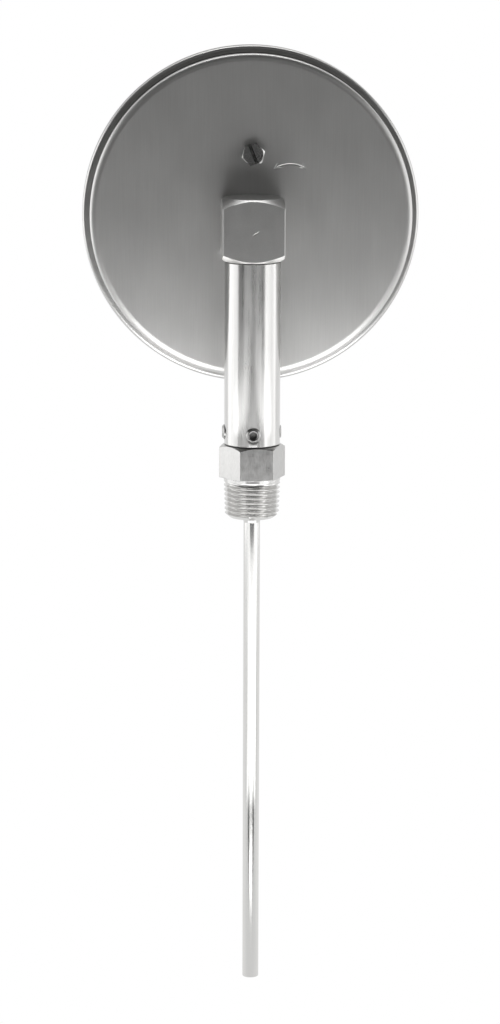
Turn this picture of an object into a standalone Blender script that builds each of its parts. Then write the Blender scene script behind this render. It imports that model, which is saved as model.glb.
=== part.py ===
"""A bimetal dial thermometer with a 5 inch dial and a stem leaving the foot of its case.

Metres, +Z up along the stem, dial facing -Y. The origin is where the stem's axis meets the
underside of the hexagon, so everything below it goes into the vessel. Dial-side pieces are
modelled in a frame whose own +Z runs forwards out of the dial, and there "depth" means the
distance in front of the stem's axis.
"""

import math

import bmesh
import bpy
from mathutils import Vector

MM = 0.001
GAP = 0.3 * MM  # clearance between pieces that touch on the real thermometer

# Process fitting: a 7/8 inch hexagon over a 1/2 inch taper pipe thread
HEX_FLATS = 22.225 * MM
HEX_HEIGHT = 12.6 * MM
HEX_TURN = math.radians(7)
THREAD_PITCH = 25.4 / 14 * MM
THREAD_TAPER = 1 / 32
THREAD_TOP_RADIUS = 10.84 * MM
THREAD_DEPTH = 1.38 * MM
THREAD_LENGTH = 15.5 * MM
SPIGOT_RADIUS = 7.6 * MM
SPIGOT_TOP = 26.0 * MM
GROOVE_RADIUS = 6.0 * MM

# Stem: 1/4 inch tube, closed by a plug at its tip
STEM_RADIUS = 3.175 * MM
STEM_BORE = 2.675 * MM
STEM_TIP = -200.0 * MM
STEM_TOP = 19.7 * MM
PLUG_HEAD = 1.2 * MM  # how far the plug shows below the tube
PLUG_LENGTH = 4.5 * MM
LOWER_GUIDE = (-72 * MM, -67 * MM)

# Neck: 1/2 inch pipe between the fitting and the elbow
NECK_RADIUS = 10.67 * MM
NECK_BORE = SPIGOT_RADIUS + GAP
NECK_BOTTOM = HEX_HEIGHT + GAP
CLAMP_HEIGHT = 17.45 * MM
CLAMP_SCREW_RADIUS = 2.95 * MM
CLAMP_KEY = 3.175 * MM
CLAMP_SCREWS = {  # where each one points, in degrees, and how far it stands out of the neck
    "right": (0, 0.8 * MM),
    "back": (90, 0.5 * MM),
    "left": (180, 0.4 * MM),
    "front": (270, 0.4 * MM),
}

# Elbow block: square bar with 30 degree turned chamfers
BLOCK_FLATS = 23.4 * MM
BLOCK_BOTTOM = 83.0 * MM
BLOCK_TOP = 107.0 * MM
BLOCK_END_RADIUS = 10.8 * MM
CHAMFER_SLOPE = math.tan(math.radians(30))
SHAFT_BORE = 6.3 * MM
SPINDLE_BORE = 6.0 * MM

# Case: everything here is round about the pointer spindle, at this height
SPINDLE_HEIGHT = 98.3 * MM
CASE_RADIUS = 61.6 * MM
CASE_BACK = BLOCK_FLATS / 2 + GAP
CASE_FRONT = 20.5 * MM
CASE_CORNER = 1.7 * MM
SHEET = 1.0 * MM
FLANGE_RADIUS = 63.1 * MM
BEZEL_RADIUS = 64.4 * MM
BEZEL_BACK = 18.6 * MM
BEZEL_FRONT = 26.0 * MM
BEZEL_SHEET = 0.8 * MM
BEZEL_OPENING = 57.6 * MM
GLASS_RADIUS = 62.8 * MM
GLASS_BACK = 22.9 * MM
GLASS_THICKNESS = 2.0 * MM
GASKET_BORE = 60.2 * MM

# Hollow stud that holds the case to the elbow and carries the dial
STUD_RADIUS = 7.0 * MM
STUD_BACK = 6.4 * MM
STUD_FRONT = 21.2 * MM
STUD_BORE = 3.4 * MM
STUD_SPIGOT = 4.9 * MM
NUT_FLATS = 20.64 * MM
NUT_BACK = 15.3 * MM
NUT_FRONT = 17.6 * MM
SEAL_RADIUS = 11.0 * MM
WASHER_RADIUS = 10.4 * MM

# Dial, and the sector behind it that the reset pinion turns
DIAL_RADIUS = 59.0 * MM
DIAL_BACK = 19.2 * MM
DIAL_THICKNESS = 0.7 * MM
DIAL_SCREW_SPACING = 24.0 * MM
SECTOR_BACK = 17.9 * MM
SECTOR_THICKNESS = 1.0 * MM
RESET_MODULE = 0.8 * MM
PINION_TEETH = 12
SECTOR_TEETH = 48
SECTOR_TEETH_CUT = 9
RESET_TOOTH = (0.75 * MM, 1.05 * MM, 0.95 * MM)  # addendum, dedendum, thickness

# Reset screw in the case back: a slotted 5/16 inch hexagon
RESET_X = -0.5 * MM
RESET_OFFSET = RESET_MODULE * (SECTOR_TEETH + PINION_TEETH) / 2
RESET_BARREL = 3.6 * MM
RESET_HEAD_FLATS = 7.94 * MM
RESET_HEAD_BACK = 8.4 * MM
RESET_HEAD_TURN = math.radians(-15)
RESET_SHANK = 2.0 * MM
RESET_SLOT = 1.2 * MM
RESET_SLOT_TILT = math.radians(-22)

# Shaft and spindle with the mitre gears that turn the corner
SHAFT_RADIUS = 0.7 * MM
SHAFT_BEARING = 1.0 * MM
MITRE_TEETH = 14
MITRE_RADIUS = 4.2 * MM
MITRE_FACE = 0.38  # share of the cone that the teeth take up
MITRE_TOOTH = 0.65 * MM
MITRE_ADDENDUM = 0.55 * MM
MITRE_DEDENDUM = 0.8 * MM
MITRE_HUB = 2.6 * MM

# Bimetal coil, wound round a post below and a collar above
COIL_BOTTOM = -193.0 * MM
COIL_TOP = -126.0 * MM
COIL_INNER = 1.85 * MM
COIL_STRIP = 0.4 * MM
COIL_WIDTH = 3.6 * MM
COIL_TURNS = 14
COIL_STEPS = 12
COIL_POST = COIL_INNER - GAP - 0.05 * MM

# Pointer, at rest on room temperature. The scale runs clockwise from lower left.
SCALE_LOW = 0
SCALE_HIGH = 250
SCALE_SWEEP = math.radians(270)
ROOM_TEMPERATURE = 70
POINTER_LENGTH = 50.0 * MM
POINTER_TAIL = 15.0 * MM
POINTER_BACK = 22.1 * MM
POINTER_SHEET = 0.4 * MM
POINTER_FRONT = POINTER_BACK + POINTER_SHEET

# How finely round pieces are faceted
CASE_STEPS = 60
BODY_STEPS = 28
SMALL_STEPS = 16


def start_clean():
    """Empty the scene, then return the collections for the thermometer and for its cutters."""
    for old in list(bpy.data.objects):
        bpy.data.objects.remove(old)
    homes = []
    for name in ("dial_thermometer", "cutters"):
        home = bpy.data.collections.new(name)
        bpy.context.scene.collection.children.link(home)
        homes.append(home)
    return homes


PARTS, CUTTERS = start_clean()


def new_material(name, colour, metallic, roughness):
    material = bpy.data.materials.new(name)
    material.use_nodes = True
    shader = material.node_tree.nodes["Principled BSDF"]
    shader.inputs["Base Color"].default_value = (*colour, 1)
    shader.inputs["Metallic"].default_value = metallic
    shader.inputs["Roughness"].default_value = roughness
    return material


MATERIALS = {
    "satin_steel": new_material("satin_steel", (0.58, 0.58, 0.58), 1, 0.42),
    "machined_steel": new_material("machined_steel", (0.68, 0.68, 0.67), 1, 0.28),
    "polished_steel": new_material("polished_steel", (0.74, 0.74, 0.74), 1, 0.15),
    "dark_steel": new_material("dark_steel", (0.16, 0.16, 0.16), 1, 0.4),
    "brass": new_material("brass", (0.78, 0.58, 0.26), 1, 0.3),
    "bimetal": new_material("bimetal", (0.52, 0.47, 0.40), 1, 0.35),
    "rubber": new_material("rubber", (0.03, 0.03, 0.03), 0, 0.7),
    "glass": new_material("glass", (0.95, 0.97, 0.97), 0, 0.03),
    "white_enamel": new_material("white_enamel", (0.88, 0.88, 0.86), 0, 0.4),
    "black_enamel": new_material("black_enamel", (0.02, 0.02, 0.02), 0, 0.4),
}


def empty(name, parent=None, location=(0, 0, 0), rotation=(0, 0, 0)):
    """An axis that pieces are placed on."""
    axis = bpy.data.objects.new(name, None)
    axis.empty_display_size = 10 * MM
    axis.parent = parent
    axis.location = location
    axis.rotation_euler = rotation
    PARTS.objects.link(axis)
    return axis


def place(name, data, material, parent):
    """Add a named piece made of a mesh or curve."""
    piece = bpy.data.objects.new(name, data)
    piece.parent = parent
    data.materials.append(MATERIALS[material])
    PARTS.objects.link(piece)
    return piece


def as_cutter(piece):
    """Keep a solid only for cutting or joining other pieces."""
    PARTS.objects.unlink(piece)
    CUTTERS.objects.link(piece)
    piece.hide_render = True
    piece.display_type = "WIRE"
    return piece


def combine(piece, operation, tool):
    """Cut, join or intersect a piece with a tool, through a Boolean modifier."""
    as_cutter(tool)
    boolean = piece.modifiers.new(tool.name, "BOOLEAN")
    boolean.operation = operation
    boolean.object = tool
    boolean.solver = "EXACT"


def turned(name, profile, material, parent, steps=BODY_STEPS):
    """Turn a profile of (radius, height) points about Z. It runs down its outer side.

    A profile whose ends have no radius closes on the axis; any other is closed into a ring.
    """
    points = [(radius, 0, height) for radius, height in profile]
    edges = [(i, i + 1) for i in range(len(points) - 1)]
    if profile[0][0] > 0:
        edges.append((len(points) - 1, 0))
    mesh = bpy.data.meshes.new(name)
    mesh.from_pydata(points, edges, [])
    piece = place(name, mesh, material, parent)
    screw = piece.modifiers.new("turn", "SCREW")
    screw.axis = "Z"
    screw.angle = 2 * math.pi
    screw.steps = screw.render_steps = steps
    screw.use_merge_vertices = True
    screw.merge_threshold = 0.001 * MM
    screw.use_smooth_shade = True
    return piece


def rod(name, radius, low, high, material, parent, steps=BODY_STEPS):
    return turned(name, [(0, high), (radius, high), (radius, low), (0, low)], material, parent, steps)


def ring(name, inner, outer, low, high, material, parent, steps=BODY_STEPS):
    profile = [(inner, high), (outer, high), (outer, low), (inner, low)]
    return turned(name, profile, material, parent, steps)


def bar(name, sides, flats, low, high, turn, material, parent):
    """A square or hexagonal bar along Z, one flat facing +Y before it is turned."""
    mesh = bpy.data.meshes.new(name)
    bm = bmesh.new()
    radius = flats / 2 / math.cos(math.pi / sides)
    bmesh.ops.create_cone(
        bm, cap_ends=True, segments=sides, radius1=radius, radius2=radius, depth=high - low
    )
    bm.to_mesh(mesh)
    bm.free()
    piece = place(name, mesh, material, parent)
    piece.location.z = (low + high) / 2
    piece.rotation_euler.z = turn + math.pi / sides
    return piece


def plate(name, outlines, low, high, material, parent):
    """A flat piece cut to an outline. Any further outlines are holes."""
    curve = bpy.data.curves.new(name, "CURVE")
    curve.dimensions = "2D"
    curve.fill_mode = "BOTH"
    curve.extrude = (high - low) / 2
    for outline in outlines:
        spline = curve.splines.new("POLY")
        spline.points.add(len(outline) - 1)
        for point, (x, y) in zip(spline.points, outline):
            point.co = (x, y, 0, 1)
        spline.use_cyclic_u = True
    piece = place(name, curve, material, parent)
    piece.location.z = (low + high) / 2
    return piece


def arc(radius, start, end, steps, centre=(0, 0)):
    """Points along an arc, both ends included. Angles are in radians."""
    angles = [start + (end - start) * i / steps for i in range(steps + 1)]
    return [(centre[0] + radius * math.cos(a), centre[1] + radius * math.sin(a)) for a in angles]


def circle(radius, steps=SMALL_STEPS, centre=(0, 0)):
    return arc(radius, 0, 2 * math.pi, steps, centre)[:-1]


def gear_tooth(angle, pitch_radius, addendum, dedendum, thickness):
    """The four corners of a tooth whose flanks slope by 20 degrees, root to root."""
    slope = math.tan(math.radians(20))
    tip = (thickness / 2 - addendum * slope) / (pitch_radius + addendum)
    root = (thickness / 2 + dedendum * slope) / (pitch_radius - dedendum)
    corners = []
    for radius, turn in (
        (pitch_radius - dedendum, -root),
        (pitch_radius + addendum, -tip),
        (pitch_radius + addendum, tip),
        (pitch_radius - dedendum, root),
    ):
        corners.append((radius * math.cos(angle + turn), radius * math.sin(angle + turn)))
    return corners


def gear_outline(teeth, phase, pitch_radius, addendum, dedendum, thickness):
    """A whole wheel's outline, with one tooth centred on the phase angle."""
    outline = []
    for tooth in range(teeth):
        angle = phase + tooth * 2 * math.pi / teeth
        outline += gear_tooth(angle, pitch_radius, addendum, dedendum, thickness)
    return outline


# Process fitting and stem -------------------------------------------------------------


def thread_profile():
    """The taper thread from the hexagon down to its chamfered end, as closed grooves."""
    def crest(depth):
        return THREAD_TOP_RADIUS - depth * THREAD_TAPER

    points = [(crest(0) - THREAD_DEPTH, 0)]
    turn = 0
    while (turn + 1) * THREAD_PITCH < THREAD_LENGTH:
        for part, height in ((0.1, 0), (0.42, 1), (0.58, 1), (0.9, 0)):
            depth = (turn + part) * THREAD_PITCH
            points.append((crest(depth) - (1 - height) * THREAD_DEPTH, -depth))
        turn += 1
    points.append((crest(THREAD_LENGTH) - THREAD_DEPTH, -THREAD_LENGTH))
    return points


def process_fitting(parent):
    """Hexagon, pipe thread below it and a grooved spigot above it, bored for the stem."""
    fitting = bar("process_fitting", 6, HEX_FLATS, 0, HEX_HEIGHT, HEX_TURN, "machined_steel", parent)
    corner = HEX_FLATS / math.sqrt(3) + 1 * MM
    flat = HEX_FLATS / 2
    chamfer = turned("hexagon_chamfer", [
        (0, HEX_HEIGHT),
        (flat, HEX_HEIGHT),
        (corner, HEX_HEIGHT - (corner - flat) * CHAMFER_SLOPE),
        (corner, -1 * MM),
        (0, -1 * MM),
    ], "machined_steel", parent)
    combine(fitting, "INTERSECT", chamfer)
    core = THREAD_TOP_RADIUS - THREAD_DEPTH
    groove_half = CLAMP_SCREW_RADIUS + GAP
    step = SPIGOT_RADIUS - GROOVE_RADIUS
    spindle = turned("thread_and_spigot", [
        (0, SPIGOT_TOP),
        (SPIGOT_RADIUS - 0.6 * MM, SPIGOT_TOP),
        (SPIGOT_RADIUS, SPIGOT_TOP - 0.6 * MM),
        (SPIGOT_RADIUS, CLAMP_HEIGHT + groove_half + step / 2),
        (GROOVE_RADIUS, CLAMP_HEIGHT + groove_half),
        (GROOVE_RADIUS, CLAMP_HEIGHT - groove_half),
        (SPIGOT_RADIUS, CLAMP_HEIGHT - groove_half - step / 2),
        (SPIGOT_RADIUS, HEX_HEIGHT / 2),
        (core, HEX_HEIGHT / 2),
        *thread_profile(),
        (0, -THREAD_LENGTH),
    ], "machined_steel", parent)
    combine(fitting, "UNION", spindle)
    bore = rod("stem_bore", STEM_RADIUS + GAP, -THREAD_LENGTH - 1 * MM, SPIGOT_TOP + 1 * MM,
               "machined_steel", parent)
    combine(fitting, "DIFFERENCE", bore)


def stem(parent):
    """The tube, its welded tip and the two guides that keep the shaft straight."""
    plug_head = STEM_TIP + PLUG_HEAD
    ring("stem_tube", STEM_BORE, STEM_RADIUS, plug_head + GAP, STEM_TOP, "polished_steel", parent)
    turned("stem_tip_plug", [
        (0, STEM_TIP + PLUG_LENGTH),
        (STEM_BORE - GAP, STEM_TIP + PLUG_LENGTH),
        (STEM_BORE - GAP, plug_head),
        (STEM_RADIUS, plug_head),
        (STEM_RADIUS, STEM_TIP + 0.3 * MM),
        (STEM_RADIUS - 0.3 * MM, STEM_TIP),
        (0, STEM_TIP),
    ], "polished_steel", parent, SMALL_STEPS)
    ring("lower_shaft_guide", SHAFT_BEARING, STEM_BORE - GAP, *LOWER_GUIDE,
         "brass", parent, SMALL_STEPS)
    ring("upper_shaft_guide", SHAFT_BEARING, STEM_RADIUS, STEM_TOP + GAP, SPIGOT_TOP - GAP,
         "brass", parent, SMALL_STEPS)


def coil_anchor(parent):
    """The post pressed into the tip, which the foot of the coil is welded to."""
    base = STEM_TIP + PLUG_LENGTH + GAP
    turned("coil_anchor", [
        (0, COIL_BOTTOM + 10 * MM),
        (COIL_POST, COIL_BOTTOM + 10 * MM),
        (COIL_POST, base + 1 * MM),
        (STEM_BORE - GAP, base + 1 * MM),
        (STEM_BORE - GAP, base),
        (0, base),
    ], "brass", parent, SMALL_STEPS)


def bimetal_coil(parent):
    """A flat strip wound into a helix, swept from its first cross-section."""
    rise = (COIL_TOP - COIL_BOTTOM - COIL_WIDTH) / COIL_TURNS
    steps = COIL_TURNS * COIL_STEPS
    bm = bmesh.new()
    sections = []
    for step in range(steps + 1):
        angle = 2 * math.pi * step / COIL_STEPS
        low = COIL_BOTTOM + rise * step / COIL_STEPS
        corners = []
        for radius, height in (
            (COIL_INNER, low),
            (COIL_INNER + COIL_STRIP, low),
            (COIL_INNER + COIL_STRIP, low + COIL_WIDTH),
            (COIL_INNER, low + COIL_WIDTH),
        ):
            corners.append(bm.verts.new((radius * math.cos(angle), radius * math.sin(angle), height)))
        sections.append(corners)
    for before, after in zip(sections, sections[1:]):
        for side in range(4):
            other = (side + 1) % 4
            bm.faces.new((before[side], before[other], after[other], after[side]))
    bm.faces.new(sections[0])
    bm.faces.new(sections[-1])
    bmesh.ops.recalc_face_normals(bm, faces=bm.faces)
    mesh = bpy.data.meshes.new("bimetal_coil")
    bm.to_mesh(mesh)
    bm.free()
    place("bimetal_coil", mesh, "bimetal", parent)


# Neck and elbow -----------------------------------------------------------------------


def neck(parent):
    """The pipe, drilled across for its four clamp screws."""
    pipe = ring("neck_tube", NECK_BORE, NECK_RADIUS, NECK_BOTTOM, BLOCK_BOTTOM - GAP,
                "machined_steel", parent)
    for name, turn in (("side_to_side", (0, math.pi / 2, 0)), ("front_to_back", (math.pi / 2, 0, 0))):
        drill = rod(f"drill_{name}", CLAMP_SCREW_RADIUS + GAP, -20 * MM, 20 * MM,
                    "machined_steel", parent, SMALL_STEPS)
        drill.location.z = CLAMP_HEIGHT
        drill.rotation_euler = turn
        combine(pipe, "DIFFERENCE", drill)


def clamp_screw(side, degrees, proud, head):
    """A hexagon-socket screw pointing outwards from the neck on its own axis."""
    axis = empty(f"set_screw_{side}_axis", head, (0, 0, CLAMP_HEIGHT),
                 (0, math.pi / 2, math.radians(degrees)))
    outer = NECK_RADIUS + proud
    tip = GROOVE_RADIUS + GAP
    screw = turned(f"set_screw_{side}", [
        (0, outer),
        (CLAMP_SCREW_RADIUS - 0.45 * MM, outer),
        (CLAMP_SCREW_RADIUS, outer - 0.45 * MM),
        (CLAMP_SCREW_RADIUS, tip + 1.2 * MM),
        (CLAMP_SCREW_RADIUS - 1.2 * MM, tip),
        (0, tip),
    ], "dark_steel", axis, SMALL_STEPS)
    key = bar(f"key_{side}", 6, CLAMP_KEY, outer - 2.6 * MM, outer + 1 * MM, 0, "dark_steel", axis)
    combine(screw, "DIFFERENCE", key)


def elbow_block(parent):
    """Square bar with turned ends, bored up for the shaft and across for the spindle."""
    block = bar("elbow_block", 4, BLOCK_FLATS, BLOCK_BOTTOM, BLOCK_TOP, 0, "satin_steel", parent)
    reach = BLOCK_FLATS
    drop = (reach - BLOCK_END_RADIUS) * CHAMFER_SLOPE
    ends = turned("block_chamfers", [
        (0, BLOCK_TOP),
        (BLOCK_END_RADIUS, BLOCK_TOP),
        (reach, BLOCK_TOP - drop),
        (reach, BLOCK_BOTTOM + drop),
        (BLOCK_END_RADIUS, BLOCK_BOTTOM),
        (0, BLOCK_BOTTOM),
    ], "satin_steel", parent)
    combine(block, "INTERSECT", ends)
    up = rod("shaft_bore", SHAFT_BORE, BLOCK_BOTTOM - 1 * MM, SPINDLE_HEIGHT, "satin_steel", parent)
    combine(block, "DIFFERENCE", up)
    thread_back = STUD_BACK - GAP
    across = turned("stud_bore", [
        (0, BLOCK_FLATS),
        (STUD_RADIUS + GAP, BLOCK_FLATS),
        (STUD_RADIUS + GAP, thread_back),
        (SPINDLE_BORE, thread_back),
        (SPINDLE_BORE, -2 * MM),
        (0, -2 * MM),
    ], "satin_steel", parent)
    across.location.z = SPINDLE_HEIGHT
    across.rotation_euler.x = math.pi / 2
    combine(block, "DIFFERENCE", across)


def case_fixings(parent):
    """The stud, and what clamps the case back against the elbow from inside."""
    turned("case_stud", [
        (STUD_BORE, STUD_FRONT),
        (STUD_SPIGOT, STUD_FRONT),
        (STUD_SPIGOT, NUT_FRONT),
        (STUD_RADIUS, NUT_FRONT),
        (STUD_RADIUS, STUD_BACK),
        (STUD_BORE, STUD_BACK),
    ], "machined_steel", parent)
    hole = STUD_RADIUS + GAP
    inside = CASE_BACK + SHEET
    ring("case_seal", hole, SEAL_RADIUS, inside + GAP, inside + 0.9 * MM, "rubber", parent)
    ring("lock_washer", hole, WASHER_RADIUS, inside + 1.2 * MM, NUT_BACK - GAP, "machined_steel", parent)
    nut = bar("case_nut", 6, NUT_FLATS, NUT_BACK, NUT_FRONT, 0, "machined_steel", parent)
    thread = rod("nut_thread", hole, NUT_BACK - 1 * MM, NUT_FRONT + 1 * MM, "machined_steel", parent)
    combine(nut, "DIFFERENCE", thread)


# Case, bezel and window ---------------------------------------------------------------


def case_back(parent):
    """A drawn pan: back plate, rounded corner, side wall and outward flange."""
    corner = CASE_RADIUS - CASE_CORNER
    centre = (corner, CASE_BACK + CASE_CORNER)
    outer = arc(CASE_CORNER, 0, -math.pi / 2, 4, centre)
    inner = arc(CASE_CORNER - SHEET, -math.pi / 2, 0, 2, centre)
    profile = [
        (CASE_RADIUS - SHEET, CASE_FRONT),
        (FLANGE_RADIUS, CASE_FRONT),
        (FLANGE_RADIUS, CASE_FRONT - BEZEL_SHEET),
        (CASE_RADIUS, CASE_FRONT - BEZEL_SHEET),
        *outer,
        (STUD_RADIUS + GAP, CASE_BACK),
        (STUD_RADIUS + GAP, CASE_BACK + SHEET),
        *inner,
    ]
    pan = turned("case_back", profile, "satin_steel", parent, CASE_STEPS)
    hole = rod("reset_hole", RESET_BARREL + GAP, CASE_BACK - 1 * MM, CASE_BACK + 2 * MM,
               "satin_steel", parent, SMALL_STEPS)
    hole.location = (RESET_X, RESET_OFFSET, 0)
    combine(pan, "DIFFERENCE", hole)


def bezel_and_window(parent):
    """The pressed bezel, curled over the flange behind and over the glass in front."""
    roll = 1.6 * MM
    front = arc(roll, math.pi / 2, 0, 3, (BEZEL_RADIUS - roll, BEZEL_FRONT - roll))
    wall = BEZEL_RADIUS - BEZEL_SHEET
    glass_front = GLASS_BACK + GLASS_THICKNESS + GAP
    curl = CASE_RADIUS + 0.4 * MM
    turned("bezel_ring", [
        (BEZEL_OPENING, glass_front + 0.3 * MM),
        (BEZEL_OPENING + 1.2 * MM, BEZEL_FRONT),
        *front,
        (BEZEL_RADIUS, BEZEL_BACK + BEZEL_SHEET),
        (BEZEL_RADIUS - BEZEL_SHEET / 2, BEZEL_BACK + 0.2 * MM),
        (BEZEL_RADIUS - BEZEL_SHEET, BEZEL_BACK),
        (curl, BEZEL_BACK),
        (curl, BEZEL_BACK + BEZEL_SHEET),
        (wall, BEZEL_BACK + BEZEL_SHEET),
        (wall, glass_front),
        (BEZEL_OPENING, glass_front),
    ], "polished_steel", parent, CASE_STEPS)
    ring("window_gasket", GASKET_BORE, FLANGE_RADIUS, CASE_FRONT + GAP, GLASS_BACK - GAP,
         "rubber", parent, CASE_STEPS)
    rod("window_glass", GLASS_RADIUS, GLASS_BACK, GLASS_BACK + GLASS_THICKNESS, "glass",
        parent, CASE_STEPS)


# Movement -----------------------------------------------------------------------------


def mitre_gear(name, direction, phase, parent):
    """A mitre gear with its cone's tip at its own origin and its hub behind it.

    direction is -1 where the gear lies below that tip, and 1 where it lies above it.
    """
    lift = math.sqrt(0.5)
    above = MITRE_ADDENDUM * lift
    below = MITRE_DEDENDUM * lift
    tip = MITRE_RADIUS * (MITRE_RADIUS + above) / (MITRE_RADIUS - above)
    root = MITRE_RADIUS * (MITRE_RADIUS - below) / (MITRE_RADIUS + below)
    outline = gear_outline(MITRE_TEETH, phase, MITRE_RADIUS, tip - MITRE_RADIUS,
                           MITRE_RADIUS - root, MITRE_TOOTH)
    bm = bmesh.new()
    back = bm.faces.new([bm.verts.new((x, y, direction * MITRE_RADIUS)) for x, y in outline])
    grown = bmesh.ops.extrude_face_region(bm, geom=[back])["geom"]
    for vert in grown:
        if isinstance(vert, bmesh.types.BMVert):
            vert.co = vert.co * (1 - MITRE_FACE)
    bmesh.ops.recalc_face_normals(bm, faces=bm.faces)
    mesh = bpy.data.meshes.new(name)
    bm.to_mesh(mesh)
    bm.free()
    gear = place(name, mesh, "brass", parent)
    ends = sorted((direction * (MITRE_RADIUS - 0.2 * MM), direction * (MITRE_RADIUS + MITRE_HUB)))
    hub = rod(f"{name}_hub", 2.3 * MM, *ends, "brass", parent, SMALL_STEPS)
    hub.location = gear.location
    combine(gear, "UNION", hub)
    bore = rod(f"{name}_bore", SHAFT_RADIUS + GAP, -MITRE_RADIUS * 3, MITRE_RADIUS * 3,
               "brass", parent, SMALL_STEPS)
    combine(gear, "DIFFERENCE", bore)
    return gear


def drive(parent):
    """What the coil turns: its collar, the long shaft and the lower mitre gear."""
    ring("coil_collar", SHAFT_RADIUS + GAP, COIL_POST, COIL_TOP - 5 * MM, COIL_TOP + 5 * MM,
         "brass", parent, SMALL_STEPS)
    rod("drive_shaft", SHAFT_RADIUS, COIL_TOP - 4 * MM, SPINDLE_HEIGHT - MITRE_RADIUS,
        "polished_steel", parent, SMALL_STEPS)
    cone_tip = empty("drive_gear_axis", parent, (0, 0, SPINDLE_HEIGHT))
    mitre_gear("drive_gear", -1, -math.pi / 2, cone_tip)


def bearings(neck_side, dial_side):
    """The plain bearings that the shaft and the spindle turn in."""
    ring("neck_shaft_bearing", SHAFT_BEARING, SHAFT_BORE - GAP, BLOCK_BOTTOM + 1.5 * MM,
         BLOCK_BOTTOM + 5.5 * MM, "brass", neck_side, SMALL_STEPS)
    outer = STUD_BORE - GAP
    ring("rear_spindle_bearing", SHAFT_BEARING, outer, STUD_BACK + 0.8 * MM, STUD_BACK + 2.8 * MM,
         "brass", dial_side, SMALL_STEPS)
    ring("front_spindle_bearing", SHAFT_BEARING, outer, STUD_FRONT - 2.7 * MM, STUD_FRONT - 0.2 * MM,
         "brass", dial_side, SMALL_STEPS)


def pointer(parent):
    """The spindle with its gear, and the hub that carries the needle."""
    rod("pointer_spindle", SHAFT_RADIUS, MITRE_RADIUS - 1.2 * MM, POINTER_FRONT, "polished_steel",
        parent, SMALL_STEPS)
    mitre_gear("pointer_gear", 1, -math.pi / 2 + math.pi / MITRE_TEETH, parent)
    boss = 1.6 * MM
    turned("pointer_hub", [
        (SHAFT_RADIUS + GAP, POINTER_FRONT),
        (boss, POINTER_FRONT),
        (boss, STUD_FRONT + 0.6 * MM),
        (3 * MM, STUD_FRONT + 0.6 * MM),
        (3 * MM, STUD_FRONT + GAP),
        (SHAFT_RADIUS + GAP, STUD_FRONT + GAP),
    ], "brass", parent, SMALL_STEPS)
    disc = 4.2 * MM
    side = math.radians(75)
    left = arc(disc, math.pi - side, math.pi + side, 10)
    right = arc(disc, -side, side, 10)
    outline = [
        (0.35 * MM, POINTER_LENGTH),
        (-0.35 * MM, POINTER_LENGTH),
        (-0.9 * MM, POINTER_LENGTH * 0.82),
        *left,
        (-2.4 * MM, -POINTER_TAIL),
        (2.4 * MM, -POINTER_TAIL),
        *right,
        (0.9 * MM, POINTER_LENGTH * 0.82),
    ]
    needle = plate("pointer_needle", [outline, circle(boss + GAP)], POINTER_BACK, POINTER_FRONT,
                   "black_enamel", parent)
    reading = (ROOM_TEMPERATURE - SCALE_LOW) / (SCALE_HIGH - SCALE_LOW)
    needle.rotation_euler.z = SCALE_SWEEP / 2 - SCALE_SWEEP * reading


# Dial and its reset drive -------------------------------------------------------------


def dial(parent):
    """The printed plate, screwed to a toothed sector on a hub that turns on the stud."""
    hub_bore = STUD_SPIGOT + GAP
    hub_radius = 7 * MM
    dial_front = DIAL_BACK + DIAL_THICKNESS
    screw_hole = 1.3 * MM
    screw_x = DIAL_SCREW_SPACING / 2
    screw_holes = [circle(screw_hole, 12, (side * screw_x, 0)) for side in (-1, 1)]
    plate("dial_plate", [circle(DIAL_RADIUS, CASE_STEPS), circle(hub_radius + GAP), *screw_holes],
          DIAL_BACK, dial_front, "white_enamel", parent)
    turned("dial_hub", [
        (hub_bore, dial_front + 0.7 * MM),
        (9 * MM, dial_front + 0.7 * MM),
        (9 * MM, dial_front + GAP),
        (hub_radius, dial_front + GAP),
        (hub_radius, SECTOR_BACK),
        (hub_bore, SECTOR_BACK),
    ], "brass", parent, SMALL_STEPS)
    plate("reset_sector", [sector_outline(), circle(hub_radius + GAP), *screw_holes],
          SECTOR_BACK, SECTOR_BACK + SECTOR_THICKNESS, "brass", parent)
    for side, name in ((-1, "left"), (1, "right")):
        screw = turned(f"dial_screw_{name}", [
            (0, dial_front + 0.8 * MM),
            (1.7 * MM, dial_front + 0.8 * MM),
            (1.7 * MM, dial_front + GAP),
            (1 * MM, dial_front + GAP),
            (1 * MM, SECTOR_BACK + 0.1 * MM),
            (0, SECTOR_BACK + 0.1 * MM),
        ], "machined_steel", parent, 12)
        screw.location.x = side * screw_x


def sector_outline():
    """Teeth across the top of a disc, so that only the part the pinion reaches is cut."""
    pitch_radius = RESET_MODULE * SECTOR_TEETH / 2
    step = 2 * math.pi / SECTOR_TEETH
    lean = math.atan2(-RESET_X, RESET_OFFSET)
    outline = []
    for tooth in range(SECTOR_TEETH_CUT):
        angle = math.pi / 2 + lean + (tooth - SECTOR_TEETH_CUT // 2) * step
        outline += gear_tooth(angle, pitch_radius, *RESET_TOOTH)
    span = SECTOR_TEETH_CUT * step / 2
    outline += arc(15 * MM, math.pi / 2 + span, math.pi * 2.5 - span, 28)
    return outline


def dial_retaining_ring(parent):
    """A spring clip, open on one side, that keeps the dial hub on the stud."""
    mouth = math.radians(25)
    outline = arc(6.6 * MM, mouth, 2 * math.pi - mouth, 20)
    outline += arc(STUD_SPIGOT + GAP, 2 * math.pi - mouth, mouth, 20)
    plate("dial_retaining_ring", [outline], STUD_FRONT - 0.3 * MM, STUD_FRONT, "machined_steel", parent)


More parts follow.
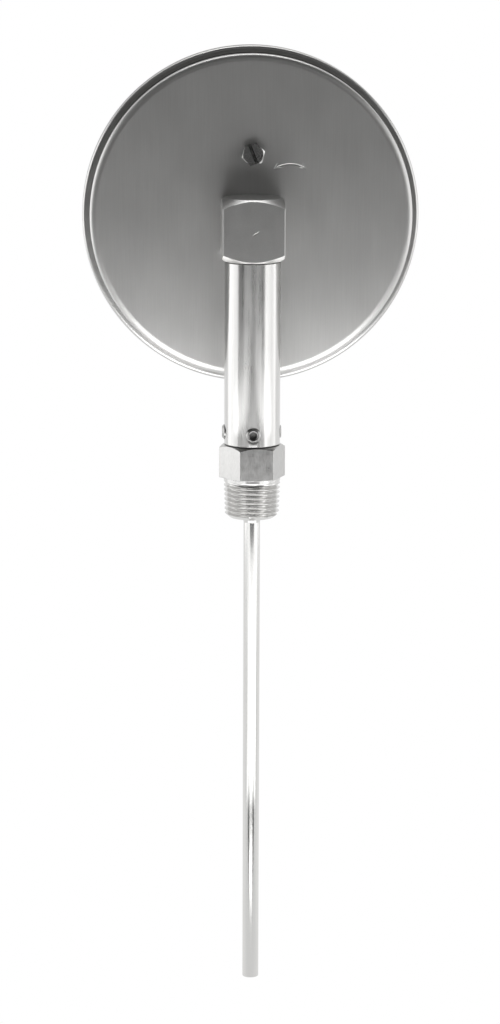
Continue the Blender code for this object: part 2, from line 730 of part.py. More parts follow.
def reset_bush(parent):
    """The flanged bush in the case back, and the ring that seals the screw in it."""
    inside = CASE_BACK + SHEET
    turned("reset_bush", [
        (3.2 * MM, inside + 2.4 * MM),
        (RESET_BARREL + 0.4 * MM, inside + 2.4 * MM),
        (RESET_BARREL + 0.4 * MM, inside + 1.2 * MM),
        (5.5 * MM, inside + 1.2 * MM),
        (5.5 * MM, inside + GAP),
        (RESET_BARREL, inside + GAP),
        (RESET_BARREL, CASE_BACK),
        (RESET_SHANK + GAP, CASE_BACK),
        (RESET_SHANK + GAP, inside + 1.2 * MM),
        (3.2 * MM, inside + 1.2 * MM),
    ], "machined_steel", parent, SMALL_STEPS)
    cord = 0.45 * MM
    turned("reset_o_ring", circle(cord, 6, (RESET_SHANK + cord + 0.12 * MM, inside + 1.8 * MM))[::-1],
           "rubber", parent, SMALL_STEPS)


def reset_screw(parent):
    """Slotted hexagon head outside the case, and a pinion on its shank inside."""
    back = RESET_HEAD_BACK
    flat = RESET_HEAD_FLATS / 2
    head = bar("reset_screw", 6, RESET_HEAD_FLATS, back, CASE_BACK - GAP, RESET_HEAD_TURN,
               "machined_steel", parent)
    rim = flat + 1 * MM
    chamfer = turned("reset_head_chamfer", [
        (0, CASE_BACK),
        (rim, CASE_BACK),
        (rim, back + (rim - flat + 0.1 * MM) * CHAMFER_SLOPE),
        (flat - 0.1 * MM, back),
        (0, back),
    ], "machined_steel", parent)
    combine(head, "INTERSECT", chamfer)
    shank = rod("reset_shank", RESET_SHANK, CASE_BACK - 1 * MM, DIAL_BACK - GAP, "machined_steel",
                parent, SMALL_STEPS)
    combine(head, "UNION", shank)
    mesh = bpy.data.meshes.new("reset_slot")
    bm = bmesh.new()
    bmesh.ops.create_cube(bm, size=1)
    bmesh.ops.scale(bm, vec=Vector((RESET_SLOT, 12 * MM, 2.8 * MM)), verts=bm.verts)
    bm.to_mesh(mesh)
    bm.free()
    slot = place("reset_slot", mesh, "machined_steel", parent)
    slot.location.z = back
    slot.rotation_euler.z = RESET_SLOT_TILT
    combine(head, "DIFFERENCE", slot)
    teeth = gear_outline(PINION_TEETH, -math.pi / 2 + math.pi / PINION_TEETH,
                         RESET_MODULE * PINION_TEETH / 2, *RESET_TOOTH)
    plate("reset_pinion", [teeth, circle(RESET_SHANK + GAP)], NUT_FRONT, DIAL_BACK - GAP,
          "brass", parent)


# Assembly -----------------------------------------------------------------------------


def build():
    fitting = empty("fitting_axis")
    process_fitting(fitting)
    stem(fitting)
    coil_anchor(fitting)
    bimetal_coil(fitting)

    head = empty("head_axis", fitting)
    neck(head)
    elbow_block(head)
    for side, (degrees, proud) in CLAMP_SCREWS.items():
        clamp_screw(side, degrees, proud, head)
    drive(empty("drive_axis", head))

    spindle = empty("spindle_axis", head, (0, 0, SPINDLE_HEIGHT), (math.pi / 2, 0, 0))
    case_fixings(spindle)
    case_back(spindle)
    bezel_and_window(spindle)
    bearings(head, spindle)
    pointer(empty("pointer_axis", spindle))
    dial(empty("dial_axis", spindle))
    dial_retaining_ring(spindle)
    reset_bush(empty("reset_bush_axis", spindle, (RESET_X, RESET_OFFSET, 0)))
    reset_screw(empty("reset_axis", spindle, (RESET_X, RESET_OFFSET, 0)))


build()
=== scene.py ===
"""Looks for the bimetal dial thermometer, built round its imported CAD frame.

Metres, +Z up along the stem, dial facing -Y. Pieces on the dial side are drawn in a frame whose
own +Z runs forwards out of the dial, and there "depth" means the distance in front of the stem's
axis. Meshes are written in the shared frame, so every piece sits at the origin.
"""

import math

import bmesh
import bpy
from mathutils import Matrix, Vector


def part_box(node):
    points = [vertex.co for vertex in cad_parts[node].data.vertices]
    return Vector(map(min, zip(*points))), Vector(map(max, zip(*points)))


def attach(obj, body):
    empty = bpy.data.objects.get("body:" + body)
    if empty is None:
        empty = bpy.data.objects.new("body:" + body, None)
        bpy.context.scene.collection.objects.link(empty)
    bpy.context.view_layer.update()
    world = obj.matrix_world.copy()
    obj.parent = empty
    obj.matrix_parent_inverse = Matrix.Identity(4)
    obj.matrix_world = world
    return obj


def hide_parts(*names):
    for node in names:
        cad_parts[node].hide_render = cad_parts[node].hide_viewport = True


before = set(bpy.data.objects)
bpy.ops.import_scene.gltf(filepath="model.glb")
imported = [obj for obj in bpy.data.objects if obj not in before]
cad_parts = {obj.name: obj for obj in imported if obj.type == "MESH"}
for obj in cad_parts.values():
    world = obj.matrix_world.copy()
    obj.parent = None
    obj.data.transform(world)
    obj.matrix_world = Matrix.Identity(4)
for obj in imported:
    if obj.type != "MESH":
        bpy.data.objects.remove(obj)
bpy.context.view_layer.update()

MM = 0.001
TAU = 2 * math.pi
MERGE = 0.0005 * MM  # points closer than this become one
CHAMFER = math.tan(math.radians(30))  # fall per unit of radius on the turned bar ends

# Sizes read back from the CAD nodes
BEZEL_LOW, BEZEL_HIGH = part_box("bezel_ring")
SPINDLE_HEIGHT = (BEZEL_LOW.z + BEZEL_HIGH.z) / 2
BEZEL_RADIUS = BEZEL_HIGH.x
BEZEL_BACK, BEZEL_FRONT = -BEZEL_HIGH.y, -BEZEL_LOW.y
PAN_LOW, PAN_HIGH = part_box("case_back")
CASE_BACK, CASE_FRONT, FLANGE_RADIUS = -PAN_HIGH.y, -PAN_LOW.y, PAN_HIGH.x
GLASS_LOW, GLASS_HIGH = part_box("window_glass")
BLOCK_LOW, BLOCK_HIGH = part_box("elbow_block")
NECK_LOW, NECK_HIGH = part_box("neck_tube")
NECK_RADIUS = NECK_HIGH.x
STEM_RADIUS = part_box("stem_tube")[1].x
STEM_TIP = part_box("stem_tip_plug")[0].z
DIAL_FRONT = -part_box("dial_plate")[0].y

# Sizes that no box gives
CASE_RADIUS = 61.6 * MM
SHEET = 1.0 * MM
BEZEL_SHEET = 0.8 * MM
BEZEL_OPENING = 57.6 * MM
HEX_FLATS = 22.225 * MM
HEX_HEIGHT = 12.6 * MM
HEX_TURN = math.radians(7)
THREAD_PITCH = 25.4 / 14 * MM
THREAD_TAPER = 1 / 32
THREAD_TOP_RADIUS = 10.84 * MM
THREAD_DEPTH = 1.38 * MM
THREAD_END = -15.5 * MM
SPIGOT_RADIUS = 7.6 * MM
SPIGOT_TOP = 26.0 * MM
GROOVE_RADIUS = 6.0 * MM
NECK_BORE = 7.9 * MM
CLAMP_HEIGHT = 17.45 * MM
CLAMP_SCREW_RADIUS = 2.95 * MM
CLAMP_KEY = 3.175 * MM
CLAMP_SIDES = {"right": 0, "back": 90, "left": 180, "front": 270}
STUD_RADIUS = 7.0 * MM
STUD_SPIGOT = 4.9 * MM
STUD_FRONT = 21.2 * MM
RESET_X = -0.5 * MM
RESET_OFFSET = 24.0 * MM
RESET_FLATS = 7.94 * MM
RESET_BACK = 8.4 * MM
RESET_TURN = math.radians(-15)
RESET_SLOT_TILT = math.radians(-22)
SCALE_SWEEP = math.radians(270)
SCALE_TOP = 250
SCALE_BAND = (52.0 * MM, 52.3 * MM)
FONT_PER_HEIGHT = 1.35  # font size over the height of its figures

STEM_FRAME = Matrix.Identity(4)
DIAL_FRAME = Matrix.Translation((0, 0, SPINDLE_HEIGHT)) @ Matrix.Rotation(math.pi / 2, 4, "X")
RESET_FRAME = DIAL_FRAME @ Matrix.Translation((RESET_X, RESET_OFFSET, 0))


# Materials ----------------------------------------------------------------------------


def add(tree, kind, **values):
    """Add a node. A value is a property of the node, or one of its inputs with _ for a space."""
    made = tree.nodes.new(f"ShaderNode{kind}")
    for key, value in values.items():
        socket = key.replace("_", " ")
        if socket in made.inputs:
            if isinstance(value, bpy.types.NodeSocket):
                tree.links.new(value, made.inputs[socket])
            else:
                made.inputs[socket].default_value = value
        else:
            setattr(made, key, value)
    return made


def principled(name, **values):
    """A material of one Principled shader, with its node tree and the shader."""
    material = bpy.data.materials.new(name)
    material.use_nodes = True
    tree = material.node_tree
    tree.nodes.clear()
    shader = add(tree, "BsdfPrincipled", **values)
    output = add(tree, "OutputMaterial")
    tree.links.new(shader.outputs["BSDF"], output.inputs["Surface"])
    return material, tree, shader


def grain(tree, scale, stretch, detail):
    """Noise fixed to the piece. scale is in features per metre, stretch squeezes each axis."""
    place = add(tree, "TexCoord")
    mapped = add(tree, "Mapping", Vector=place.outputs["Object"], Scale=stretch)
    noise = add(tree, "TexNoise", Vector=mapped.outputs["Vector"], Scale=scale, Detail=detail,
                Roughness=0.6)
    return noise.outputs["Fac"]


def spread(tree, value, low, high, source=(0.3, 0.7)):
    """Bring a noise value, which mostly stays within source, to the range low to high."""
    made = add(tree, "MapRange", Value=value, From_Min=source[0], From_Max=source[1],
               To_Min=low, To_Max=high)
    return made.outputs["Result"]


def shade(tree, value, dark, light):
    """A colour between two, by a value from 0 to 1."""
    made = tree.nodes.new("ShaderNodeValToRGB")
    made.color_ramp.elements[0].color = (*dark, 1)
    made.color_ramp.elements[1].color = (*light, 1)
    tree.links.new(value, made.inputs["Fac"])
    return made.outputs["Color"]


def total(tree, first, second, share):
    """The first value plus a share of the second."""
    made = add(tree, "Math", operation="MULTIPLY_ADD")
    tree.links.new(second, made.inputs[0])
    made.inputs[1].default_value = share
    tree.links.new(first, made.inputs[2])
    return made.outputs["Value"]


def raise_by(tree, shader, height, distance):
    """Bump the surface by a height from 0 to 1, where 1 stands the distance proud."""
    bump = add(tree, "Bump", Strength=1.0, Distance=distance, Height=height)
    tree.links.new(bump.outputs["Normal"], shader.inputs["Normal"])


def steel(name, grey, roughness, lines, mottle, bump=0.0, anisotropic=0.0, tangent_turn=0.0,
          tone=0.05, edge=1.0):
    """Bare metal. lines and mottle are (scale, stretch) of its fine grain and its soft patches.

    roughness is a (smoothest, roughest) pair that both drive, tone is how far the grey varies,
    and edge is how brightly the metal shines where it is seen edge on.
    """
    material, tree, shader = principled(name, Metallic=1.0, Anisotropic=anisotropic,
                                        Anisotropic_Rotation=tangent_turn,
                                        Specular_Tint=(edge, edge, edge, 1))
    fine = grain(tree, lines[0], lines[1], 4.0)
    soft = grain(tree, mottle[0], mottle[1], 2.0)
    both = spread(tree, total(tree, fine, soft, 0.7), 0, 1, (0.5, 1.2))
    warm = (grey * 1.005, grey, grey * 0.985)
    tree.links.new(
        shade(tree, both, [c * (1 - tone) for c in warm], [c * (1 + tone) for c in warm]),
        shader.inputs["Base Color"])
    tree.links.new(spread(tree, both, *roughness, (0, 1)), shader.inputs["Roughness"])
    if bump:
        raise_by(tree, shader, fine, bump)
    if anisotropic:
        direction = add(tree, "Tangent", direction_type="RADIAL", axis="Z")
        tree.links.new(direction.outputs["Tangent"], shader.inputs["Tangent"])
    return material


def coated(name, colour, roughness, scale, bump, metallic=0.0, variation=0.04):
    """Paint, rubber, brass and other finishes with an even, slightly uneven skin."""
    material, tree, shader = principled(name, Metallic=metallic)
    fine = grain(tree, scale, (1, 1, 1), 3.0)
    even = spread(tree, fine, 0, 1)
    tree.links.new(
        shade(tree, even, [c * (1 - variation) for c in colour],
              [min(1, c * (1 + variation)) for c in colour]),
        shader.inputs["Base Color"])
    tree.links.new(spread(tree, even, roughness * 0.9, roughness * 1.1, (0, 1)),
                   shader.inputs["Roughness"])
    raise_by(tree, shader, fine, bump)
    return material


def clear_glass():
    """Window glass that lamps shine through."""
    material, tree, shader = principled(
        "window_clear", Base_Color=(0.97, 0.985, 0.98, 1), Roughness=0.0, IOR=1.5,
        Transmission_Weight=1.0)
    ripple = grain(tree, 25.0, (1, 1, 1), 1.0)
    raise_by(tree, shader, ripple, 0.02 * MM)
    output = next(n for n in tree.nodes if n.type == "OUTPUT_MATERIAL")
    path = add(tree, "LightPath")
    through = add(tree, "BsdfTransparent")
    mixed = tree.nodes.new("ShaderNodeMixShader")
    tree.links.new(path.outputs["Is Shadow Ray"], mixed.inputs["Fac"])
    tree.links.new(shader.outputs["BSDF"], mixed.inputs[1])
    tree.links.new(through.outputs["BSDF"], mixed.inputs[2])
    tree.links.new(mixed.outputs["Shader"], output.inputs["Surface"])
    return material


PLATE_STEEL = steel("plate_steel", 0.60, (0.40, 0.45), lines=(2600, (1, 1, 0.02)),
                    mottle=(90, (1, 1, 0.5)), bump=0.006 * MM, anisotropic=0.2)
BLOCK_STEEL = steel("block_steel", 0.64, (0.32, 0.38), lines=(2200, (1, 1, 1)),
                    mottle=(260, (1, 1, 1)), bump=0.006 * MM)
NECK_STEEL = steel("neck_steel", 0.62, (0.24, 0.34), lines=(2600, (1, 1, 0.004)),
                   mottle=(300, (1, 1, 0.2)), bump=0.004 * MM, anisotropic=0.8, tangent_turn=0.25,
                   tone=0.10)
HEX_STEEL = steel("hex_steel", 0.52, (0.26, 0.40), lines=(2400, (1, 1, 0.25)),
                  mottle=(350, (1, 1, 1)), bump=0.008 * MM, tone=0.14)
THREAD_STEEL = steel("thread_steel", 0.64, (0.18, 0.24), lines=(2600, (1, 1, 0.1)),
                     mottle=(400, (1, 1, 1)))
STEM_STEEL = steel("stem_steel", 0.66, (0.10, 0.18), lines=(3000, (1, 1, 0.01)),
                   mottle=(120, (1, 1, 0.3)), bump=0.003 * MM)
BEZEL_STEEL = steel("bezel_steel", 0.62, (0.30, 0.36), lines=(2500, (0.2, 1, 0.2)),
                    mottle=(80, (1, 1, 1)), bump=0.001 * MM, edge=0.35)
SCREW_STEEL = steel("screw_steel", 0.60, (0.24, 0.28), lines=(2000, (1, 1, 1)),
                    mottle=(500, (1, 1, 1)))
DARK_STEEL = steel("oxide_steel", 0.40, (0.22, 0.38), lines=(3500, (1, 1, 1)),
                   mottle=(600, (1, 1, 1)), bump=0.006 * MM, tone=0.15)
BRASS = coated("turned_brass", (0.76, 0.56, 0.26), 0.28, 2500, 0.004 * MM, metallic=1.0)
BIMETAL = coated("bimetal_strip", (0.52, 0.47, 0.40), 0.35, 2200, 0.004 * MM, metallic=1.0)
RUBBER = coated("black_rubber", (0.030, 0.030, 0.031), 0.65, 1800, 0.02 * MM)
WHITE = coated("white_enamel_paint", (0.86, 0.86, 0.84), 0.38, 700, 0.006 * MM, variation=0.01)
BLACK = coated("black_enamel_paint", (0.022, 0.022, 0.024), 0.36, 900, 0.006 * MM)
INK = coated("black_ink", (0.016, 0.016, 0.018), 0.5, 3000, 0.002 * MM)
GLASS = clear_glass()

CARRIED = {
    "satin_steel": PLATE_STEEL,
    "machined_steel": SCREW_STEEL,
    "polished_steel": STEM_STEEL,
    "dark_steel": DARK_STEEL,
    "brass": BRASS,
    "bimetal": BIMETAL,
    "rubber": RUBBER,
    "glass": GLASS,
    "white_enamel": WHITE,
    "black_enamel": BLACK,
}


# Meshes -------------------------------------------------------------------------------


def rounded(profile, steps=4, ring=True):
    """Points round a profile of (radius, height, fillet) corners. A fillet has steps + 1 points.

    A profile that isn't a ring runs from axis to axis, and its two ends stay single points.
    """
    points = []
    count = len(profile)
    for i, (x, y, fillet) in enumerate(profile):
        if not ring and i in (0, count - 1):
            points.append((x, y))
            continue
        here = Vector((x, y))
        back = Vector(profile[i - 1][:2]) - here
        on = Vector(profile[(i + 1) % count][:2]) - here
        half = back.angle(on) / 2
        if fillet == 0 or half > math.radians(89.5):
            points.append((x, y))
            continue
        reach = min(fillet / math.tan(half), 0.47 * back.length, 0.47 * on.length)
        back.normalize()
        on.normalize()
        centre = here + (back + on).normalized() * reach / math.cos(half)
        start = here + back * reach - centre
        sweep = start.angle_signed(here + on * reach - centre)
        for step in range(steps + 1):
            turn = Matrix.Rotation(-sweep * step / steps, 2)
            points.append(tuple(centre + turn @ start))
    return points


def arc(radius, start, end, steps, centre=(0, 0)):
    """Points along an arc, both ends included. Angles are in degrees."""
    angles = [math.radians(start + (end - start) * i / steps) for i in range(steps + 1)]
    return [(centre[0] + radius * math.cos(a), centre[1] + radius * math.sin(a)) for a in angles]


def skin(columns, ring=True, wrap=True):
    """A closed surface over columns of points that all have the same number of points."""
    bm = bmesh.new()
    rows = [[bm.verts.new(point) for point in column] for column in columns]
    count = len(rows[0])
    neighbours = rows[1:] + rows[:1] if wrap else rows[1:]
    for left, right in zip(rows, neighbours):
        for j in range(count if ring else count - 1):
            k = (j + 1) % count
            bm.faces.new((left[j], left[k], right[k], right[j]))
    bmesh.ops.remove_doubles(bm, verts=bm.verts, dist=MERGE)
    bmesh.ops.dissolve_degenerate(bm, edges=bm.edges, dist=MERGE)
    bmesh.ops.recalc_face_normals(bm, faces=bm.faces)
    mesh = bpy.data.meshes.new("skin")
    bm.to_mesh(mesh)
    bm.free()
    return mesh


def turned(points, home=STEM_FRAME, steps=192, ring=True):
    """Turn a profile of (radius, height) points about the Z axis of its home frame."""
    columns = []
    for i in range(steps):
        angle = TAU * i / steps
        columns.append([
            home @ Vector((r * math.cos(angle), r * math.sin(angle), h)) for r, h in points])
    return skin(columns, ring)


def bar_outline(sides, flats, turn, corner, flat_steps, corner_steps):
    """Points round a square or hexagonal bar with rounded corners.

    One flat faces +Y before the turn.
    """
    centre_radius = (flats / 2 - corner) / math.cos(math.pi / sides)
    points = []
    for side in range(sides):
        normal = math.pi / 2 + turn + side * TAU / sides
        middle = normal + math.pi / sides
        centre = (centre_radius * math.cos(middle), centre_radius * math.sin(middle))
        points += arc(corner, math.degrees(normal), math.degrees(normal) + 360 / sides,
                      corner_steps, centre)
        after = middle + TAU / sides
        ends = math.degrees(normal + TAU / sides)
        start = Vector(points[-1])
        end = Vector(arc(corner, ends, ends, 1, (
            centre_radius * math.cos(after), centre_radius * math.sin(after)))[0])
        points += [tuple(start.lerp(end, step / flat_steps)) for step in range(1, flat_steps)]
    return points


def barred(outline, section, home=STEM_FRAME):
    """Columns of points for a bar, from the section(reach) at each point of its outline."""
    columns = []
    for x, y in outline:
        reach = math.hypot(x, y)
        columns.append([
            home @ Vector((x / reach * r, y / reach * r, h)) for r, h in section(reach)])
    return columns


def prism(outlines, home):
    """A solid through stacked outlines of (height, [(x, y), ...]), capped at both ends."""
    bm = bmesh.new()
    layers = [[bm.verts.new(home @ Vector((x, y, height))) for x, y in points]
              for height, points in outlines]
    bm.faces.new(layers[0])
    bm.faces.new(layers[-1])
    for low, high in zip(layers, layers[1:]):
        for i in range(len(low)):
            j = (i + 1) % len(low)
            bm.faces.new((low[i], low[j], high[j], high[i]))
    bmesh.ops.recalc_face_normals(bm, faces=bm.faces)
    mesh = bpy.data.meshes.new("prism")
    bm.to_mesh(mesh)
    bm.free()
    return mesh


def stroke(points, width, high, low):
    """A cutter for a groove with sloping sides along a line of (x, y) points."""
    sides = ([], [])
    for i, here in enumerate(points):
        before = Vector(points[max(i - 1, 0)])
        after = Vector(points[min(i + 1, len(points) - 1)])
        along = (after - before).normalized()
        square = Vector((-along.y, along.x))
        for side, share in zip(sides, (0.5, 0.22)):
            side.append((Vector(here) + square * width * share,
                         Vector(here) - square * width * share))
    outlines = []
    for height, side in ((high, sides[0]), (low, sides[1])):
        left = [tuple(pair[0]) for pair in side]
        right = [tuple(pair[1]) for pair in reversed(side)]
        outlines.append((height, left + right))
    return prism(outlines, DIAL_FRAME)


def welded(mesh):
    """Join the caps and walls of a mesh where they meet."""
    bm = bmesh.new()
    bm.from_mesh(mesh)
    bmesh.ops.remove_doubles(bm, verts=bm.verts, dist=MERGE)
    bmesh.ops.recalc_face_normals(bm, faces=bm.faces)
    bm.to_mesh(mesh)
    bm.free()
    return mesh


def joined(meshes):
    """One mesh of several, which are used up."""
    bm = bmesh.new()
    for mesh in meshes:
        bm.from_mesh(mesh)
        bpy.data.meshes.remove(mesh)
    mesh = bpy.data.meshes.new("joined")
    bm.to_mesh(mesh)
    bm.free()
    return mesh


def cut(mesh, cutters):
    """Cut a mesh with others, all of which are used up, and return the result."""
    block = bpy.data.objects.new("block", mesh)
    bpy.context.scene.collection.objects.link(block)
    tools = []
    for cutter in cutters:
        tool = bpy.data.objects.new("tool", cutter)
        bpy.context.scene.collection.objects.link(tool)
        boolean = block.modifiers.new("cut", "BOOLEAN")
        boolean.operation = "DIFFERENCE"
        boolean.solver = "EXACT"
        boolean.use_self = True
        boolean.object = tool
        tools.append(tool)
    bpy.context.view_layer.update()
    result = bpy.data.meshes.new_from_object(
        block.evaluated_get(bpy.context.evaluated_depsgraph_get()))
    for used in (block, *tools):
        data = used.data
        bpy.data.objects.remove(used)
        bpy.data.meshes.remove(data)
    return result


def piece(name, mesh, material, body, replaced=(), crease=32):
    """A finished piece that rides on a body and stands for the CAD nodes it replaces."""
    mesh.name = name
    mesh.materials.clear()
    mesh.materials.append(material)
    mesh.polygons.foreach_set("use_smooth", [True] * len(mesh.polygons))
    mesh.set_sharp_from_angle(angle=math.radians(crease))
    made = bpy.data.objects.new(name, mesh)
    bpy.context.scene.collection.objects.link(made)
    weighted = made.modifiers.new("flat_faces", "WEIGHTED_NORMAL")
    weighted.keep_sharp = True
    weighted.weight = 60
    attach(made, body)
    if replaced:
        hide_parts(*replaced)


# Fitting and stem ---------------------------------------------------------------------

RELIEF = 1.1 * MM  # plain band between the hexagon and the first thread
ROWS_PER_TURN = 16


def thread_radius(angle, height):
    """Where the surface of the taper thread is, washed out at the top and chamfered at the end."""
    crest = THREAD_TOP_RADIUS + height * THREAD_TAPER
    across = (-(height + RELIEF) / THREAD_PITCH - angle / TAU) % 1
    flat = 0.5 / ROWS_PER_TURN
    rise = 1 - min(max((abs(across - 0.5) - flat) / (0.5 - 2 * flat), 0), 1)
    down = min(max((-height - RELIEF) / (1.1 * THREAD_PITCH), 0), 1)
    depth = THREAD_DEPTH * (down * down * (3 - 2 * down))
    end = THREAD_TOP_RADIUS - THREAD_DEPTH - 0.35 * MM + THREAD_END * THREAD_TAPER
    return min(crest - depth * (1 - rise), end + (height - THREAD_END) * 1.15)


def fitting_body():
    """Hexagon with its spigot above and the helical taper thread below, in one skin."""
    bore = STEM_RADIUS + 0.01 * MM
    groove = CLAMP_SCREW_RADIUS + 0.3 * MM
    step = SPIGOT_RADIUS - GROOVE_RADIUS
    weld_top, weld_foot = 4.7 * MM, 2.2 * MM
    outline = bar_outline(6, HEX_FLATS, HEX_TURN, 0.25 * MM, 16, 4)
    outline.append(outline[0])
    rows = int((-THREAD_END - RELIEF) / THREAD_PITCH + 2) * ROWS_PER_TURN
    crown = HEX_FLATS / 2 - 0.12 * MM
    first = math.atan2(outline[0][1], outline[0][0])
    columns = []
    for x, y in outline:
        reach = math.hypot(x, y)
        angle = (math.atan2(y, x) - first) % TAU
        if columns and angle < 1e-6:
            angle = TAU
        upper = rounded([
            (bore, THREAD_END - weld_foot, 0),
            (bore, SPIGOT_TOP, 0),
            (SPIGOT_RADIUS - 0.6 * MM, SPIGOT_TOP, 0),
            (SPIGOT_RADIUS, SPIGOT_TOP - 0.6 * MM, 0),
            (SPIGOT_RADIUS, CLAMP_HEIGHT + groove + step / 2, 0),
            (GROOVE_RADIUS, CLAMP_HEIGHT + groove, 0),
            (GROOVE_RADIUS, CLAMP_HEIGHT - groove, 0),
            (SPIGOT_RADIUS, CLAMP_HEIGHT - groove - step / 2, 0),
            (SPIGOT_RADIUS, HEX_HEIGHT, 0),
            (crown, HEX_HEIGHT, 0.12 * MM),
            (reach, HEX_HEIGHT - (reach - crown) * CHAMFER, 0.2 * MM),
            (reach, 0, 0.3 * MM),
            (THREAD_TOP_RADIUS, 0, 0),
        ], 3, ring=False)
        points = upper + [(THREAD_TOP_RADIUS - RELIEF * THREAD_TAPER, -RELIEF)]
        for row in range(rows):
            height = -RELIEF - ((row + 0.5) / ROWS_PER_TURN - 1 + angle / TAU) * THREAD_PITCH
            height = min(max(height, THREAD_END), -RELIEF)
            points.append((thread_radius(angle, height), height))
        points.append((thread_radius(angle, THREAD_END), THREAD_END))
        points.append((weld_top, THREAD_END))
        for t in range(1, 6):
            turn = math.pi / 2 * t / 6
            points.append((weld_top - (weld_top - bore) * math.sin(turn),
                           THREAD_END - weld_foot * (1 - math.cos(turn))))
        columns.append([Vector((x / reach * r, y / reach * r, h)) for r, h in points])
    mesh = skin(columns, ring=True, wrap=False)
    piece("fitting_body", mesh, HEX_STEEL, "fitting", ["process_fitting"],
          crease=24)
    mesh.materials.append(THREAD_STEEL)
    for face in mesh.polygons:
        if face.center.z < -0.05 * MM:
            face.material_index = 1


def stem_rod():
    """The stem as a closed tube with its welded tip."""
    tip = STEM_TIP
    bore = STEM_RADIUS - 0.5 * MM
    points = rounded([
        (0, tip, 0),
        (STEM_RADIUS, tip, 0.35 * MM),
        (STEM_RADIUS, 19.7 * MM, 0.1 * MM),
        (bore, 19.7 * MM, 0.1 * MM),
        (bore, tip + 4.5 * MM, 0),
        (0, tip + 4.5 * MM, 0),
    ], 5, ring=False)
    piece("stem_rod", turned(points, steps=96, ring=False), STEM_STEEL, "fitting",
          ["stem_tube", "stem_tip_plug"])


# Neck, clamp screws and elbow ---------------------------------------------------------


def neck_pipe():
    """The pipe with its four tapped holes, each with a small countersink."""
    wall = turned(rounded([
        (NECK_BORE, NECK_LOW.z, 0.1 * MM),
        (NECK_BORE, NECK_HIGH.z, 0.1 * MM),
        (NECK_RADIUS, NECK_HIGH.z, 0.25 * MM),
        (NECK_RADIUS, NECK_LOW.z, 0.35 * MM),
    ]), steps=192)
    hole = CLAMP_SCREW_RADIUS + 0.06 * MM
    drills = []
    for degrees in CLAMP_SIDES.values():
        home = clamp_frame(degrees)
        drills.append(turned([
            (0, 6.5 * MM),
            (hole, 6.5 * MM),
            (hole, 10.35 * MM),
            (hole + 0.55 * MM, 10.9 * MM),
            (0, 10.9 * MM),
        ], home, 72, ring=False))
    piece("neck_pipe", cut(wall, drills), NECK_STEEL, "head", ["neck_tube"])


def clamp_frame(degrees):
    """A frame whose +Z points out of the neck along a clamp screw."""
    return (Matrix.Translation((0, 0, CLAMP_HEIGHT))
            @ Matrix.Rotation(math.radians(degrees), 4, "Z")
            @ Matrix.Rotation(math.pi / 2, 4, "Y"))


def clamp_screw(side, degrees):
    """A socket set screw with a rounded rim and a chamfered hexagon socket."""
    low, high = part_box(f"set_screw_{side}")
    outer = max(abs(low.x), abs(high.x)) if degrees % 180 == 0 else max(abs(low.y), abs(high.y))
    tip = GROOVE_RADIUS + 0.3 * MM
    radius = CLAMP_SCREW_RADIUS
    home = clamp_frame(degrees)
    body = turned(rounded([
        (0, outer - 0.5 * MM, 0),
        (1.3 * MM, outer - 0.5 * MM, 0),
        (1.75 * MM, outer, 0.4 * MM),
        (2.2 * MM, outer, 0.4 * MM),
        (2.6 * MM, outer - 0.5 * MM, 0.15 * MM),
        (radius, outer - 0.75 * MM, 0.1 * MM),
        (radius, tip + 1.2 * MM, 0.1 * MM),
        (radius - 1.2 * MM, tip, 0.1 * MM),
        (0, tip, 0),
    ], 5, ring=False), home, 64, ring=False)
    key = bar_outline(6, CLAMP_KEY * 0.86, math.radians(12), 0.08 * MM, 2, 2)
    socket = prism([(outer - 2.6 * MM, key), (outer + 1 * MM, key)], home)
    piece(f"clamp_screw_{side}", cut(body, [socket]), DARK_STEEL,
          f"clamp_{side}", [f"set_screw_{side}"])


def elbow():
    """Square bar with turned 30 degree chamfers on both ends, bored as the CAD block is."""
    half = BLOCK_HIGH.x
    crown = 10.8 * MM
    edge = 0.12 * MM
    neck_bore = 6.3 * MM
    off_seam = Matrix.Rotation(0.02, 4, "Z")  # keeps the bore's corners off the bar's seams
    top, foot = BLOCK_HIGH.z, BLOCK_LOW.z

    def section(reach):
        drop = (reach - crown) * CHAMFER
        return rounded([
            (0, foot, 0),
            (crown, foot, edge),
            (reach, foot + drop, edge),
            (reach, top - drop, edge),
            (crown, top, edge),
            (0, top, 0),
        ], 3, ring=False)

    outline = bar_outline(4, half * 2, 0, 0.3 * MM, 24, 5)
    block = skin(barred(outline, section), ring=False)
    shaft = turned([(0, foot - MM), (neck_bore, foot - MM), (neck_bore, SPINDLE_HEIGHT - MM),
                    (0, SPINDLE_HEIGHT - MM)], off_seam, 70, ring=False)
    stud = STUD_RADIUS + 0.3 * MM
    across = turned([(0, half * 2), (stud, half * 2), (stud, 6.1 * MM), (6 * MM, 6.1 * MM),
                     (6 * MM, -2 * MM), (0, -2 * MM)], DIAL_FRAME, 64, ring=False)
    nick = stroke([(x * MM, y * MM) for x, y in ((0.2, -4.5), (-0.6, -3.9), (-1.5, -3.5),
                                                 (-2.0, -2.9))],
                  0.7 * MM, -half - 0.04 * MM, -half + 0.1 * MM)
    piece("elbow", cut(block, [shaft, across, nick]), BLOCK_STEEL, "head",
          ["elbow_block"])


# Case and bezel -----------------------------------------------------------------------


